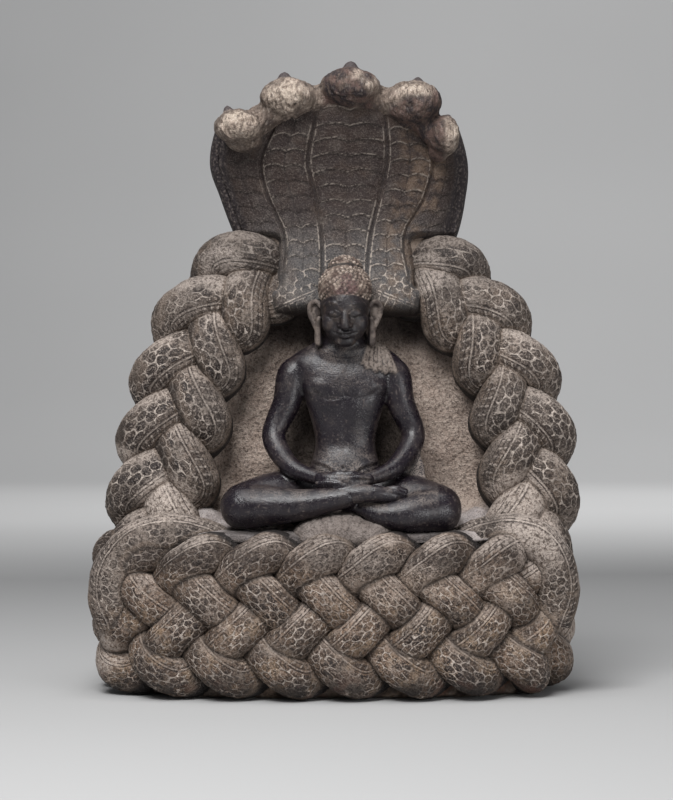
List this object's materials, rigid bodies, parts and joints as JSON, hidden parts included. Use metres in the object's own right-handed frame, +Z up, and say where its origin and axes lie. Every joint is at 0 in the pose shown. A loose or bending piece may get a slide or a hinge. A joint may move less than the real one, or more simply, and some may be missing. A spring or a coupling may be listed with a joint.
{
  "type": "carved stone stele of a seated figure under a serpent hood",
  "caption": "Carved stone stele: a seated figure in a niche, framed and seated on a plaited serpent whose fanned hood of necks leans over the head.",
  "frame": {"origin": "middle of the flat underside of the plaited seat", "axes": "+Z up, the figure faces -Y, +X to the viewer's right"},
  "size_m": [0.4675, 0.2017, 0.6011],
  "materials": {
    "stone": "weathered warm grey-brown stone, matt, with light lines between darker scales; the figure is polished near black"
  },
  "bodies": {
    "root": {"naga_buddha": "stone"}
  },
  "joints": []
}
